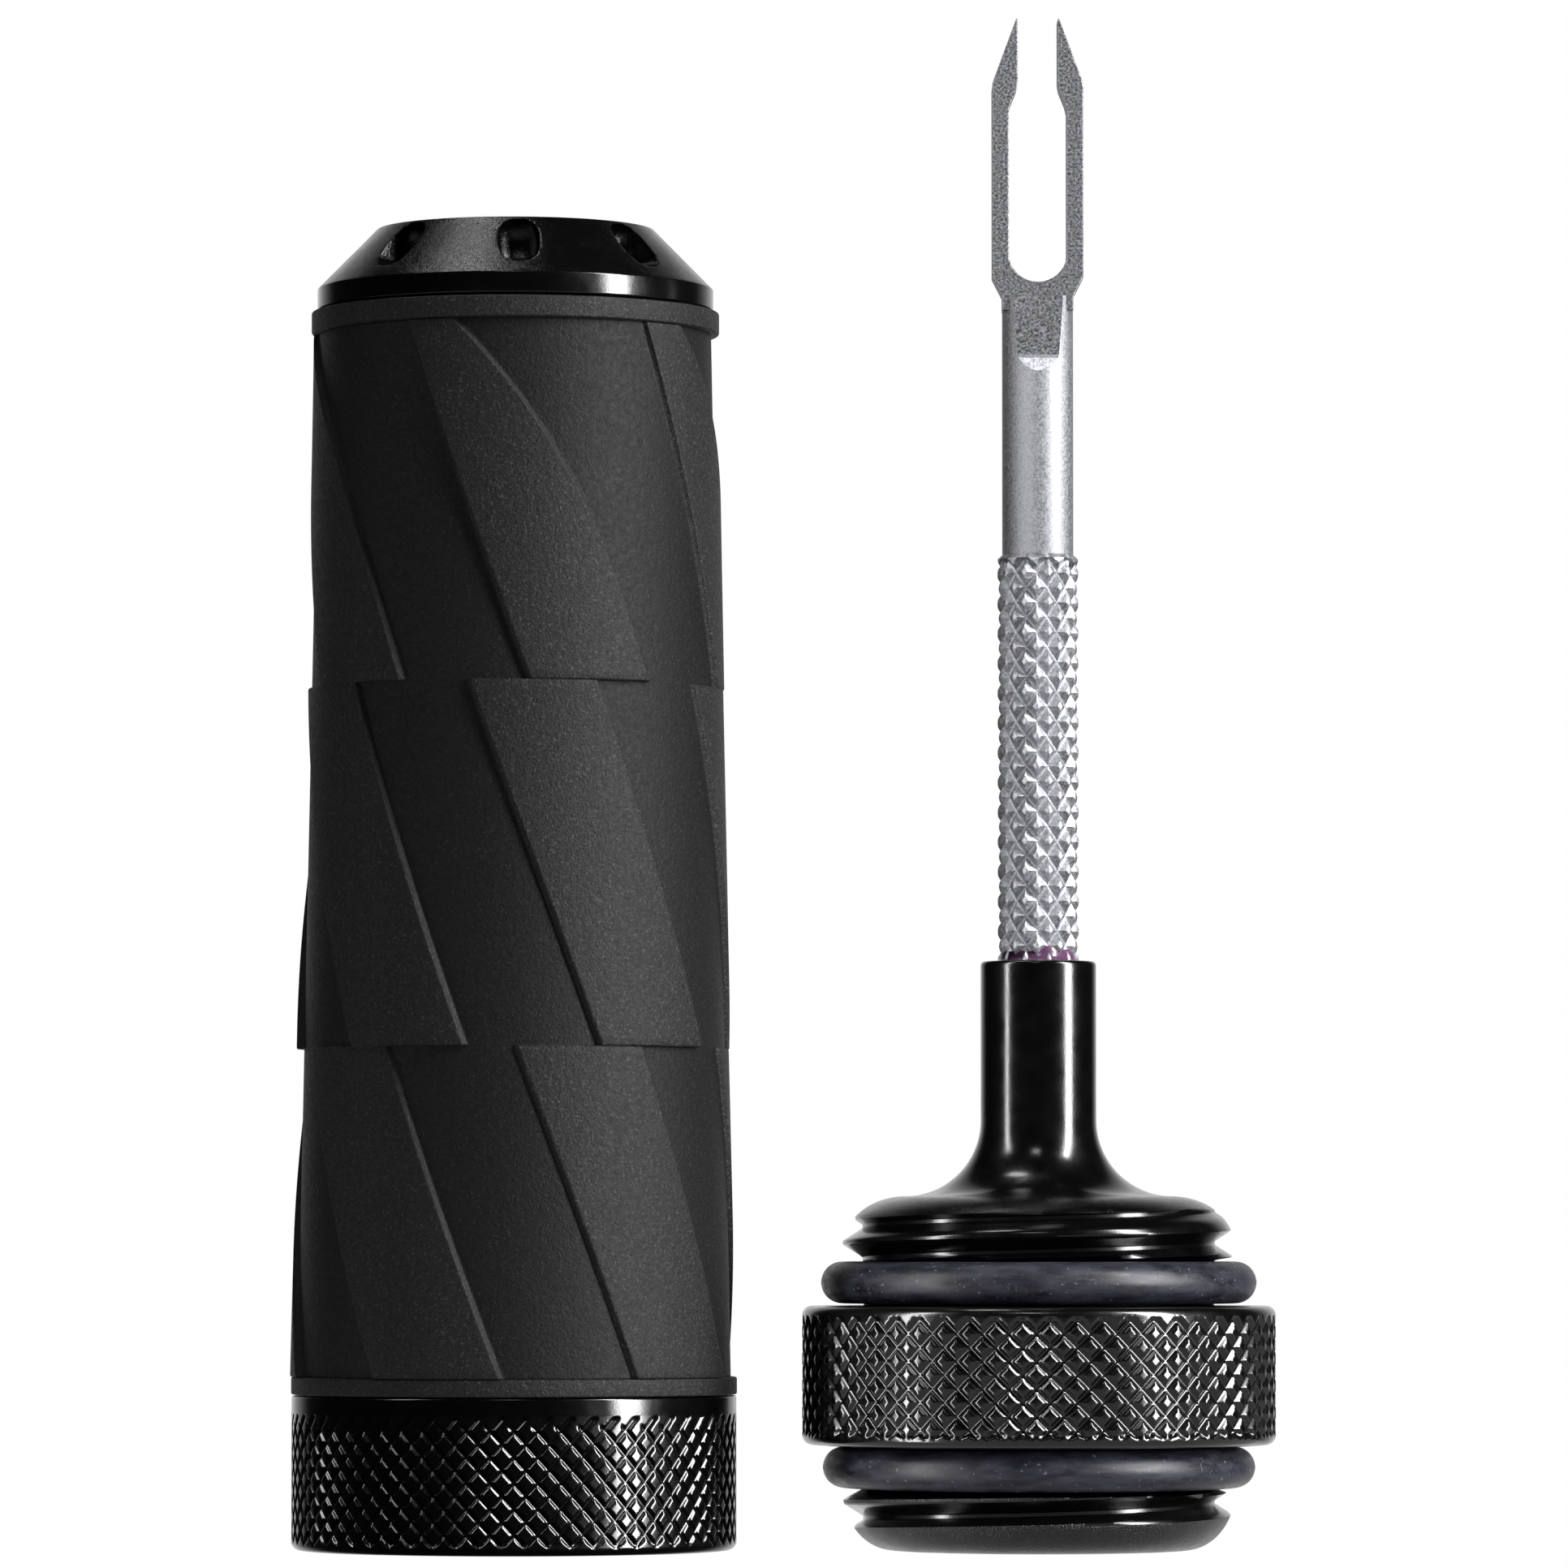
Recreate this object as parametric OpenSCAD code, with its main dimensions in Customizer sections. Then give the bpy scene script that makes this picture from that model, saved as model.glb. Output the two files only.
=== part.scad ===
// Tubeless tyre plug tool: a capsule handle and a reversible threaded insert with a split-eye fork.
// Millimetres, +Z up. Both assemblies stand on z = 0, side by side along X, with their axes on y = 0.

/* [Layout] */
// Distance between the handle's axis and the insert's axis
axis_spacing = 24.1; // [22.5:0.1:40]

/* [Handle] */
// Radius of the knurled collar at the mouth
collar_r = 10.21; // [10:0.01:10.23]
// Height of the knurled collar
collar_h = 7.07; // [6.5:0.01:8]
// Outer radius of the tube inside the grip
tube_r = 8.3; // [8.1:0.05:8.5]
// Radius of the tube's storage bore
bore_r = 7.0; // [6.9:0.05:7.2]
// Height of the tube's top end
tube_top = 56.95; // [56:0.05:56.95]
// Depth of the thread in the mouth
mouth_depth = 5.5; // [5:0.1:6]
// Radius of the collar's rounded bottom edge
collar_edge = 0.4; // [0.2:0.05:0.6]

/* [Grip sleeve] */
// Radius of the rim at the sleeve's bottom
lower_rim_r = 10.24; // [10.2:0.01:10.4]
// Height of the rim at the sleeve's bottom
lower_rim_h = 0.82; // [0.5:0.01:1.2]
// Radius of the rim at the sleeve's top
upper_rim_r = 9.4; // [9.3:0.01:9.6]
// Height of the rim at the sleeve's top
upper_rim_h = 1.0; // [0.6:0.05:1.4]
// Sleeve radius just above the lower rim
sleeve_low_r = 10.1; // [9.9:0.01:10.2]
// Sleeve radius just below the upper rim
sleeve_high_r = 9.15; // [9:0.01:9.3]

/* [End cap] */
// Radius of the cap's band
cap_r = 9.13; // [9:0.01:9.3]
// Height of the cap's band
band_h = 0.97; // [0.8:0.01:1.2]
// Radius of the cap's flat top
cap_top_r = 6.39; // [6.2:0.01:6.6]
// Height of the cap's top above the ground
handle_h = 60.75; // [60.5:0.05:61.5]
// Major radius of the cap's thread, M15 x 1
cap_thread_r = 7.5; // [7.45:0.05:7.5]
// Radius of the hollow that takes the fork's tips
cap_hollow_r = 4.0; // [3.6:0.1:4.2]
// Number of radial holes in the cone
grip_holes = 8; // [4:1:8]
// Radius of each radial hole
grip_hole_r = 1.0; // [0.8:0.05:1]

/* [Insert] */
// Major radius of both threads, M18 x 1.5
thread_r = 9.03; // [9:0.01:9.03]
// Radius of the knurled ring
ring_r = 10.875; // [10.5:0.005:11.2]
// Bottom of the knurled ring
ring_z0 = 4.82; // [4.82:0.01:4.9]
// Top of the knurled ring
ring_z1 = 11.18; // [11.1:0.01:11.18]
// Radius of the flat end that the insert stands on
foot_r = 6.74; // [6.5:0.01:6.9]
// Radius of the neck that holds the fork
neck_r = 2.66; // [2.6:0.01:3]
// Height of the neck's mouth
neck_top = 27.0; // [26:0.1:28]

/* [Fork] */
// Radius of the knurled shank
knurl_shank_r = 1.86; // [1.7:0.01:1.86]
// Top of the knurled shank
knurl_top = 45.6; // [42:0.1:48]
// Radius of the smooth shank
shank_r = 1.64; // [1.5:0.01:1.64]
// Top of the smooth shank, where the flat head starts
shank_top = 57.65; // [57:0.05:57.9]
// Height of the fork's tips
fork_top = 70.5; // [70:0.1:71]
// Width of the flat head
head_w = 4.2; // [4:0.05:4.4]
// Thickness of the flat head
head_t = 2.0; // [1.8:0.05:2.2]
// Half width of the eye
eye_half = 1.34; // [1.2:0.01:1.4]
// Half width of the gap between the tips
gap_half = 0.92; // [0.8:0.01:1]

/* [Seals] */
// Section diameter of the lower O-ring
lower_seal_d = 1.9; // [1.8:0.02:1.9]
// Section diameter of the upper O-ring
upper_seal_d = 1.95; // [1.8:0.05:1.95]
// Section diameter of the cap's O-ring
cap_seal_d = 0.84; // [0.8:0.02:0.84]

/* [Spare plugs] */
// Number of spare plugs
plugs = 5; // [5:1:5]
// Radius of a spare plug
plug_r = 1.7; // [1.4:0.1:1.7]
// Length of a spare plug
plug_len = 45; // [40:1:47]

/* [Hidden] */
$fn = 96;

black_metal = "#17171a";
black_rubber = "#26262a";
seal_rubber = "#3a3a46";
steel = "#c9ccd2";
plug_rubber = "#5b3a24";
compound = "#7a3f9c";

// The two axes, set so that the whole layout is centred on x = 0
handle_x = (lower_rim_r - ring_r - axis_spacing) / 2;
insert_x = handle_x + axis_spacing;

// Gap left at each running fit and each seat
fit_gap = 0.05;
// Overlap that makes a cut run clean through a face
cut = 0.1;

// Handle details
mouth_r = thread_r + fit_gap;
mouth_chamfer = 0.22;
cap_bore_r = cap_thread_r + fit_gap;
cap_bore_z = 52.0;
sleeve_inner_r = tube_r + 0.02;
sleeve_z0 = collar_h + fit_gap;
sleeve_z1 = tube_top - fit_gap;
// The grip's three rows of teeth start and end at these heights
row_z = [sleeve_z0 + lower_rim_h, 22.96, 39.5, sleeve_z1 - upper_rim_h];

// Cap details
band_z = tube_top + fit_gap;
cone_z = band_z + band_h;
spigot_z = cap_bore_z + 0.2;
hollow_top = handle_h - 1.25;
seal_groove_r = 6.6;
seal_groove_h = 1.1;
cap_seal_r = cap_bore_r - fit_gap - cap_seal_d / 2;
hole_z = 59.45;
hole_bottom_r = 5.2;
drill_point = 0.6;
first_hole_angle = 2.8;

// Insert details
root_r = 8.1;
lower_groove_r = 7.98;
upper_groove_r = 8.05;
lower_groove_z = 2.84;
upper_groove_z = 13.25;
foot_edge = thread_r - foot_r;
thread_top = 15.05;
dome_r = 8.74;
dome_top = 16.2;
flare_r = 3.5;
flare_start_r = neck_r + flare_r;
flare_top = dome_top + flare_r;
neck_edge = 0.3;
shank_seat = 20.5;
lower_seal_z = 3.79;
lower_seal_r = lower_groove_r + fit_gap + lower_seal_d / 2;
upper_seal_z = 12.25;
upper_seal_r = upper_groove_r + 0.01 + upper_seal_d / 2;

// Fork details
tenon_gap = 0.02;
flats_z0 = 54.1;
flats_z1 = 54.9;
flats_half_low = 1.34;
flats_half_high = 1.17;
shoulder_z = 58.55;
tip_shoulder_z = 67.5;
tip_half = 0.93;
eye_bottom = 58.3;
eye_top = 66.2;
gap_z = 67.2;

// Locking compound, in a counterbore at the neck's mouth
compound_r = 2.14;
compound_depth = 0.5;
compound_proud = 0.12;

// Spare plugs
plug_ring_r = bore_r - plug_r - 0.1;
first_plug_angle = 90;
plug_edge = plug_r / 4;

// Points on an arc of an ellipse, from angle a0 to a1
function arc(cx, cz, rx, rz, a0, a1, steps = 6) =
    [for (i = [0:steps]) let (a = a0 + (a1 - a0) * i / steps) [cx + rx * cos(a), cz + rz * sin(a)]];

// The upper side of the insert: dome, concave flare and neck, up to its rounded mouth
function insert_top() = concat(
    arc(flare_start_r, thread_top, dome_r - flare_start_r, dome_top - thread_top, 0, 90),
    arc(neck_r + flare_r, flare_top, flare_r, flare_r, 270, 180, 8),
    arc(neck_r - neck_edge, neck_top - neck_edge, neck_edge, neck_edge, 0, 90, 4)
);

// Radius of the sleeve's tapered body at height z
function body_r(z) = sleeve_low_r
    + (sleeve_high_r - sleeve_low_r) * (z - row_z[0]) / (row_z[3] - row_z[0]);

// Spins an outline of [radius, height] points round an upright axis at x
module turned(x, outline) {
    translate([x, 0, 0]) rotate_extrude() polygon(outline);
}

// A torus whose section has its centre at radius r and height z
module o_ring(x, z, r, section_d) {
    translate([x, 0, z]) rotate_extrude() translate([r, 0]) circle(d = section_d, $fn = 32);
}

// Tube and knurled collar, turned from one bar
module barrel() color(black_metal) {
    difference() {
        turned(handle_x, concat(
            [[0, 0]],
            arc(collar_r - collar_edge, collar_edge, collar_edge, collar_edge, -90, 0),
            [[collar_r, collar_h], [tube_r, collar_h], [tube_r, tube_top], [0, tube_top]]
        ));
        translate([handle_x, 0, -cut]) cylinder(r = mouth_r, h = mouth_depth + cut);
        translate([handle_x, 0, -cut])
            cylinder(r1 = mouth_r + mouth_chamfer + cut, r2 = mouth_r, h = mouth_chamfer + cut);
        translate([handle_x, 0, 0]) cylinder(r = bore_r, h = tube_top + cut);
        translate([handle_x, 0, cap_bore_z]) cylinder(r = cap_bore_r, h = tube_top);
    }
}

// Tapered rubber sleeve with a rim at each end
module grip_sleeve() color(black_rubber) {
    difference() {
        turned(handle_x, concat(
            [[0, sleeve_z0], [lower_rim_r, sleeve_z0], [lower_rim_r, row_z[0]]],
            [for (z = row_z) [body_r(z), z]],
            [[upper_rim_r, row_z[3]], [upper_rim_r, sleeve_z1], [0, sleeve_z1]]
        ));
        translate([handle_x, 0, 0]) cylinder(r = sleeve_inner_r, h = handle_h);
    }
}

// One radial blind hole in the cap's cone, with a drill-point bottom
module grip_hole() {
    translate([0, -hole_bottom_r, hole_z]) rotate([90, 0, 0]) {
        cylinder(r = grip_hole_r, h = cap_r);
        translate([0, 0, -drill_point]) cylinder(r1 = 0, r2 = grip_hole_r, h = drill_point, $fn = 24);
    }
}

// Screw cap: threaded spigot, seal groove, bright band and matte cone with radial holes
module end_cap() color(black_metal) {
    difference() {
        turned(handle_x, [
            [0, spigot_z], [cap_thread_r - 0.3, spigot_z], [cap_thread_r, spigot_z + 0.3],
            [cap_thread_r, band_z - seal_groove_h], [seal_groove_r, band_z - seal_groove_h],
            [seal_groove_r, band_z], [cap_r, band_z], [cap_r, cone_z],
            [cap_top_r, handle_h], [0, handle_h]
        ]);
        translate([handle_x, 0, spigot_z - cut])
            cylinder(r = cap_hollow_r, h = hollow_top - spigot_z + cut);
        for (i = [0:grip_holes - 1])
            translate([handle_x, 0, 0]) rotate([0, 0, first_hole_angle + i * 360 / grip_holes]) grip_hole();
    }
}

// Seal between the cap's spigot and the tube
module cap_seal() color(seal_rubber) {
    o_ring(handle_x, band_z - seal_groove_h / 2, cap_seal_r, cap_seal_d);
}

// One spare plug: a straight rubbery strip with rounded ends, standing in the bore
module spare_plug(i) color(plug_rubber) {
    angle = first_plug_angle + (i - 1) * 360 / plugs;
    translate([plug_ring_r * cos(angle), plug_ring_r * sin(angle), 0]) turned(handle_x, concat(
        [[0, 0]],
        arc(plug_r - plug_edge, plug_edge, plug_edge, plug_edge, -90, 0, 3),
        arc(plug_r - plug_edge, plug_len - plug_edge, plug_edge, plug_edge, 0, 90, 3),
        [[0, plug_len]]
    ));
}

// Threaded body of the insert, from its rounded foot to the mouth of its neck
module insert_body() color(black_metal) {
    difference() {
        turned(insert_x, concat(
            [[0, 0]],
            arc(foot_r, foot_edge, foot_edge, foot_edge, -90, 0),
            [[thread_r, lower_groove_z - 0.3], [root_r, lower_groove_z]],
            [[lower_groove_r, lower_groove_z], [lower_groove_r, ring_z0]],
            [[ring_r - 0.15, ring_z0], [ring_r, ring_z0 + 0.15]],
            [[ring_r, ring_z1 - 0.15], [ring_r - 0.15, ring_z1]],
            [[upper_groove_r, ring_z1], [upper_groove_r, upper_groove_z], [root_r, upper_groove_z]],
            [[thread_r, upper_groove_z + 0.3]],
            insert_top(),
            [[0, neck_top]]
        ));
        translate([insert_x, 0, shank_seat]) cylinder(r = knurl_shank_r + tenon_gap, h = neck_top);
        translate([insert_x, 0, neck_top - compound_depth])
            cylinder(r = compound_r, h = compound_depth + cut);
    }
}

// Seal under the knurled ring, which meets the handle when the fork points outwards
module lower_o_ring() color(seal_rubber) {
    o_ring(insert_x, lower_seal_z, lower_seal_r, lower_seal_d);
}

// Seal above the knurled ring, which meets the handle when the fork is stored inside it
module upper_o_ring() color(seal_rubber) {
    o_ring(insert_x, upper_seal_z, upper_seal_r, upper_seal_d);
}

// Knurled and smooth shank, with the flat split-eye head at its end
module fork() color(steel) {
    translate([insert_x, 0, shank_seat]) cylinder(r = knurl_shank_r, h = knurl_top - shank_seat);
    intersection() {
        translate([insert_x, 0, knurl_top - cut]) cylinder(r = shank_r, h = shank_top - knurl_top + cut);
        fork_side();
    }
    intersection() {
        fork_front();
        fork_side();
    }
}

// The fork seen from the side: the rod's full width, then the flats, then the head's thickness
module fork_side() {
    half = [
        [shank_r + cut, knurl_top - 2 * cut], [shank_r + cut, flats_z0], [flats_half_low, flats_z1],
        [flats_half_high, shank_top], [head_t / 2, shoulder_z], [head_t / 2, fork_top]
    ];
    translate([insert_x - head_w, 0, 0]) rotate([90, 0, 90]) linear_extrude(2 * head_w)
        polygon(concat(half, mirrored(half)));
}

// The head seen from the front: shoulders, long eye, and two tips with a gap between them
module fork_front() {
    outer = [
        [shank_r, shank_top - cut], [shank_r, shank_top], [head_w / 2, shoulder_z],
        [head_w / 2, tip_shoulder_z], [tip_half, fork_top]
    ];
    inner = concat(
        arc(0, eye_bottom + eye_half, eye_half, eye_half, -90, 0, 8),
        [[eye_half, eye_top], [gap_half, gap_z], [gap_half, fork_top + cut]]
    );
    translate([insert_x, head_w, 0]) rotate([90, 0, 0]) linear_extrude(2 * head_w) difference() {
        polygon(concat(outer, mirrored(outer)));
        polygon(concat(inner, mirrored(inner)));
    }
}

// An outline's points mirrored to the other side, in reverse order
function mirrored(points) = [for (i = [len(points) - 1:-1:0]) [-points[i][0], points[i][1]]];

// Ring of locking compound that holds the fork in the neck
module locking_compound() color(compound) {
    turned(insert_x, [
        [knurl_shank_r + tenon_gap, neck_top - compound_depth], [compound_r, neck_top - compound_depth],
        [compound_r, neck_top], [knurl_shank_r + tenon_gap, neck_top + compound_proud]
    ]);
}

barrel();
grip_sleeve();
end_cap();
cap_seal();
for (i = [1:plugs])
    spare_plug(i);
insert_body();
lower_o_ring();
upper_o_ring();
fork();
locking_compound();
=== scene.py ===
"""Tubeless tyre plug tool: a capsule handle and a reversible threaded insert with a split-eye fork."""

import math

import bmesh
import bpy
import numpy as np
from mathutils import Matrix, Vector


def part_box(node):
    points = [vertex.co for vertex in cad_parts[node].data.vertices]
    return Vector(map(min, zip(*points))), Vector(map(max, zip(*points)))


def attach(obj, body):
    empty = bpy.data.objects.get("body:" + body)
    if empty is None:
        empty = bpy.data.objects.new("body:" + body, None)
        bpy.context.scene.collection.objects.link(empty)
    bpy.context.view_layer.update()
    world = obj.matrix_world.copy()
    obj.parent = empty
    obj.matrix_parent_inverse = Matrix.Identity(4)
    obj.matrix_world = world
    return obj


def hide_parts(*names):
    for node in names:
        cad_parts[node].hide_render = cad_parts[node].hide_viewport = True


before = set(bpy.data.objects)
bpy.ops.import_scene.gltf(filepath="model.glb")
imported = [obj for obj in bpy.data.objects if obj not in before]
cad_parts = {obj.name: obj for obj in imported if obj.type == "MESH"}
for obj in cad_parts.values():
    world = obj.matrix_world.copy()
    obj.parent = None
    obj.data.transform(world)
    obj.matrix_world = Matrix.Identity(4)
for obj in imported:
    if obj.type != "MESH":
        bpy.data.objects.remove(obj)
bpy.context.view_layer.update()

MM = 0.001
TAU = 2 * math.pi
WELD = 2e-7  # metres: points closer than this are one point


# ---------------------------------------------------------------- driving dimensions, in millimetres

def axis_x(node):
    """The x of an upright turned node's axis, in mm."""
    low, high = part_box(node)
    return (low.x + high.x) / 2 / MM


def top_z(node):
    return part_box(node)[1].z / MM


def bottom_z(node):
    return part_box(node)[0].z / MM


def widest_r(node):
    low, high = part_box(node)
    return (high.y - low.y) / 2 / MM


HANDLE_X = axis_x("barrel")
INSERT_X = axis_x("insert_body")

COLLAR_R = widest_r("barrel")
COLLAR_H = bottom_z("grip_sleeve") - 0.05
TUBE_R = 8.3
TUBE_TOP = top_z("barrel")
BORE_R = 7.0
CAP_BORE_R = 7.55
CAP_BORE_Z = 52.0
MOUTH_R = 9.08
MOUTH_DEPTH = 5.5

SLEEVE_Z0 = bottom_z("grip_sleeve")
SLEEVE_Z1 = top_z("grip_sleeve")
SLEEVE_RIM_R = widest_r("grip_sleeve")
SLEEVE_ROWS = (SLEEVE_Z0 + 0.82, 22.96, 39.5, SLEEVE_Z1 - 1.0)  # heights where a row of teeth ends
SLEEVE_LOW_R, SLEEVE_HIGH_R = 9.95, 9.03  # between the raised bands
SLEEVE_TOP_RIM_R = 9.4

CAP_R = widest_r("end_cap")
CAP_Z0 = bottom_z("end_cap")
CAP_TOP = top_z("end_cap")
CAP_BAND_Z = 57.0
CAP_CONE_Z = CAP_BAND_Z + 0.97
CAP_TOP_R = 6.39
CAP_THREAD_R = 7.5

RING_R = widest_r("insert_body")
RING_Z0, RING_Z1 = 4.82, 11.18
THREAD_R, ROOT_R, PITCH = 9.03, 8.1, 1.5
FOOT_R = 6.74
NECK_R, NECK_TOP = 2.66, top_z("insert_body")
FLARE_R = 3.5
DOME_TOP = 16.2

SHANK_R, KNURL_SHANK_R = 1.64, 1.86
SHANK_Z0, KNURL_TOP, SHANK_TOP = bottom_z("fork"), 45.6, 57.65
FORK_TOP = top_z("fork")
HEAD_W = 4.2
HEAD_T = 2.0


# ---------------------------------------------------------------- mesh helpers

def finish_mesh(bm, name, sharp_deg=None):
    """Welds, cleans and shades a bmesh, and returns it as a linked object."""
    bmesh.ops.remove_doubles(bm, verts=bm.verts, dist=WELD)
    bmesh.ops.dissolve_degenerate(bm, edges=bm.edges, dist=WELD)
    bmesh.ops.recalc_face_normals(bm, faces=bm.faces)
    mesh = bpy.data.meshes.new(name)
    bm.to_mesh(mesh)
    bm.free()
    mesh.polygons.foreach_set("use_smooth", [True] * len(mesh.polygons))
    if sharp_deg:
        mesh.set_sharp_from_angle(angle=math.radians(sharp_deg))
    obj = bpy.data.objects.new(name, mesh)
    bpy.context.scene.collection.objects.link(obj)
    return obj


def skin(points, name, diagonal=None, sharp_deg=None):
    """A surface through a grid of points, rows x columns x 3, in mm. Rows and columns that meet are welded.

    diagonal, one value for each quad: 0 leaves it a quad, 1 splits it down to the right, 2 up to the right.
    """
    rows, cols = points.shape[:2]
    mesh = bpy.data.meshes.new(name + "_grid")
    index = np.arange(rows * cols).reshape(rows, cols)
    a, b = index[:-1, :-1], index[:-1, 1:]
    c, d = index[1:, 1:], index[1:, :-1]
    if diagonal is None:
        faces = np.stack([a, b, c, d], -1).reshape(-1, 4).tolist()
    else:
        plain, down, up = (diagonal == k for k in (0, 1, 2))
        faces = np.stack([a[plain], b[plain], c[plain], d[plain]], -1).tolist()
        faces += np.stack([a[down], b[down], d[down]], -1).tolist()
        faces += np.stack([b[down], c[down], d[down]], -1).tolist()
        faces += np.stack([a[up], b[up], c[up]], -1).tolist()
        faces += np.stack([a[up], c[up], d[up]], -1).tolist()
    mesh.from_pydata((points.reshape(-1, 3) * MM).tolist(), [], faces)
    bm = bmesh.new()
    bm.from_mesh(mesh)
    bpy.data.meshes.remove(mesh)
    return finish_mesh(bm, name, sharp_deg)


def round_corners(outline, radius, steps=4):
    """Replaces each inner corner of an open outline of (r, z) points with a small arc."""
    out = [outline[0]]
    for before, corner, after in zip(outline, outline[1:], outline[2:]):
        p, q, s = (np.array(v, float) for v in (before, corner, after))
        to_p, to_s = p - q, s - q
        reach_p, reach_s = np.linalg.norm(to_p), np.linalg.norm(to_s)
        to_p, to_s = to_p / reach_p, to_s / reach_s
        angle = math.acos(float(np.clip(to_p @ to_s, -1, 1)))
        if angle > math.radians(172):
            out.append(corner)
            continue
        cut = min(radius / math.tan(angle / 2), reach_p * 0.45, reach_s * 0.45)
        for k in range(steps + 1):
            t = k / steps
            start, end = q + to_p * cut, q + to_s * cut
            out.append(tuple((1 - t) ** 2 * start + 2 * t * (1 - t) * q + t ** 2 * end))
    out.append(outline[-1])
    return out


def arc(cr, cz, rr, rz, a0, a1, steps):
    """Points on an ellipse's arc, as (r, z)."""
    angles = np.radians(np.linspace(a0, a1, steps + 1))
    return [(cr + rr * math.cos(a), cz + rz * math.sin(a)) for a in angles]


def columns(count, first_deg=0.0):
    """Azimuths in radians, 0 at the front (-Y) and rising to the right (+X), the last on the first."""
    return np.radians(first_deg) + np.linspace(0, TAU, count + 1)


def place(x, azimuth, r, z):
    """Points at these azimuths and radii round the upright axis at x."""
    azimuth, r, z = np.broadcast_arrays(azimuth, r, z)
    return np.stack([x + r * np.sin(azimuth), -r * np.cos(azimuth), z], -1)


def rows_of(x, azimuth, outline):
    """One row of points for each (r, z) of an outline."""
    r = np.array([p[0] for p in outline])[:, None]
    z = np.array([p[1] for p in outline])[:, None]
    return place(x, azimuth[None, :], r, z)


def smoothstep(t):
    t = np.clip(t, 0, 1)
    return t * t * (3 - 2 * t)


# ---------------------------------------------------------------- knurls and threads

class Knurl:
    """Diamond knurl: two families of grooves that cross and leave rows of small blunt pyramids.

    count grooves of each family go round, pitch is the diamond's height, and a pyramid's centre is at
    land_deg, land_z. profile is the groove's depth at each step away from its bottom, in mm.
    """

    def __init__(self, radius, count, pitch, land_deg, land_z, profile, steps, z0, z1):
        self.radius, self.count, self.pitch = radius, count, pitch
        self.land_deg, self.land_z = land_deg, land_z
        self.profile, self.steps = profile, steps
        self.z0, self.z1 = z0, z1

    def azimuths(self):
        return columns(self.count * self.steps, self.land_deg - 180 / self.count)

    def heights(self):
        step = self.pitch / self.steps
        first = math.ceil((self.z0 - self.land_z) / step)
        last = math.floor((self.z1 - self.land_z) / step)
        return self.land_z + step * np.arange(first, last + 1)

    def cut(self, azimuth, z, bite_down=1, bite_up=1):
        """How deep the surface is cut at each point, and which family of grooves cuts it there.

        bite_down and bite_up scale the two families' depth at each height, for the run-out at the ends.
        """
        a = (azimuth - math.radians(self.land_deg)) * self.count / TAU + 0.5
        b = (z - self.land_z) / self.pitch
        cuts = []
        for phase, bite in ((a + b, bite_down), (a - b, bite_up)):
            off = np.abs((phase + 0.5) % 1.0 - 0.5) * self.steps
            wall = np.interp(off, range(len(self.profile)), self.profile)
            cuts.append(wall - max(self.profile) * (1 - bite))
        deepest = np.maximum(*cuts)
        return np.maximum(deepest, 0), np.where(cuts[0] >= cuts[1], 1, 2)

    def rows(self, x, run_down=(0.2, 0.2, 0), run_up=(0.2, 0.2, 0)):
        """The knurled band's rows of points, and the way each of its quads is split.

        run_down and run_up, one for each family of grooves: the lengths over which it fades at the bottom and
        at the top, and how far below z1 it ends.
        """
        azimuth, z = self.azimuths()[None, :], self.heights()[:, None]
        bites = [np.clip((z - self.z0) / low, 0, 1) * np.clip((self.z1 - short - z) / high, 0, 1)
                 for low, high, short in (run_down, run_up)]
        depth, _ = self.cut(azimuth, z, *bites)
        middle_a = (azimuth[:, 1:] + azimuth[:, :-1]) / 2
        middle_z = (z[1:] + z[:-1]) / 2
        _, family = self.cut(middle_a, middle_z)
        return place(x, azimuth, self.radius - depth, z), family


# Depth of each groove at every step away from its bottom, in mm: a V with a rounded bottom
COLLAR_GROOVE = (0.13, 0.108, 0.062, 0.016, 0, 0, 0, 0, 0)
RING_GROOVE = (0.19, 0.165, 0.12, 0.073, 0.026, 0.002, 0, 0, 0)
SHANK_GROOVE = (0.29, 0.265, 0.215, 0.16, 0.105, 0.05, 0.012, 0, 0)

THREAD_SAMPLES = (-0.5, -0.45, -0.4, -0.3, -0.2, -0.1, -0.05, -0.03, 0.0, 0.03, 0.05, 0.1, 0.2, 0.3, 0.4, 0.45)


def ridge(turn):
    """Height of a 60 degree thread's ridge, 0 to 1, at a fraction of a turn from the crest."""
    off = np.abs((turn + 0.5) % 1.0 - 0.5)
    return smoothstep(np.clip((0.5 - off - 0.045) / (0.5 - 0.045 - 0.03), 0, 1)) * 0.15 + 0.85 * np.clip(
        (0.5 - off - 0.055) / (0.5 - 0.055 - 0.035), 0, 1)


def thread_rows(x, azimuth, z0, z1, pitch, crest_z, radius):
    """Rows that climb with a right-hand thread between heights z0 and z1.

    crest_z is a crest's height at azimuth 0. radius(ridge, z) gives the radius from the ridge's height
    (0 to 1), and has to depend on z alone at z0 and z1.
    """
    turn = (azimuth - azimuth[0]) / TAU
    start_turn = azimuth[0] / TAU
    first = math.floor((z0 - crest_z) / pitch - start_turn) - 1
    last = math.ceil((z1 - crest_z) / pitch - start_turn) + 1
    fractions = np.array([n + f for n in range(first, last + 1) for f in THREAD_SAMPLES])[:, None]
    z = crest_z + (fractions + start_turn + turn[None, :]) * pitch
    z = np.clip(z, z0, z1)
    height = ridge((z - crest_z) / pitch - azimuth[None, :] / TAU)
    return place(x, azimuth[None, :], radius(height, z), z)


def stack(*bands):
    return np.concatenate(bands, 0)


def split_pattern(points, row_starts_and_families):
    """The diagonal of every quad of a stacked grid: 0, apart from the knurled bands."""
    pattern = np.zeros((points.shape[0] - 1, points.shape[1] - 1), int)
    for start, family in row_starts_and_families:
        pattern[start:start + family.shape[0], :] = family
    return pattern


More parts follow.
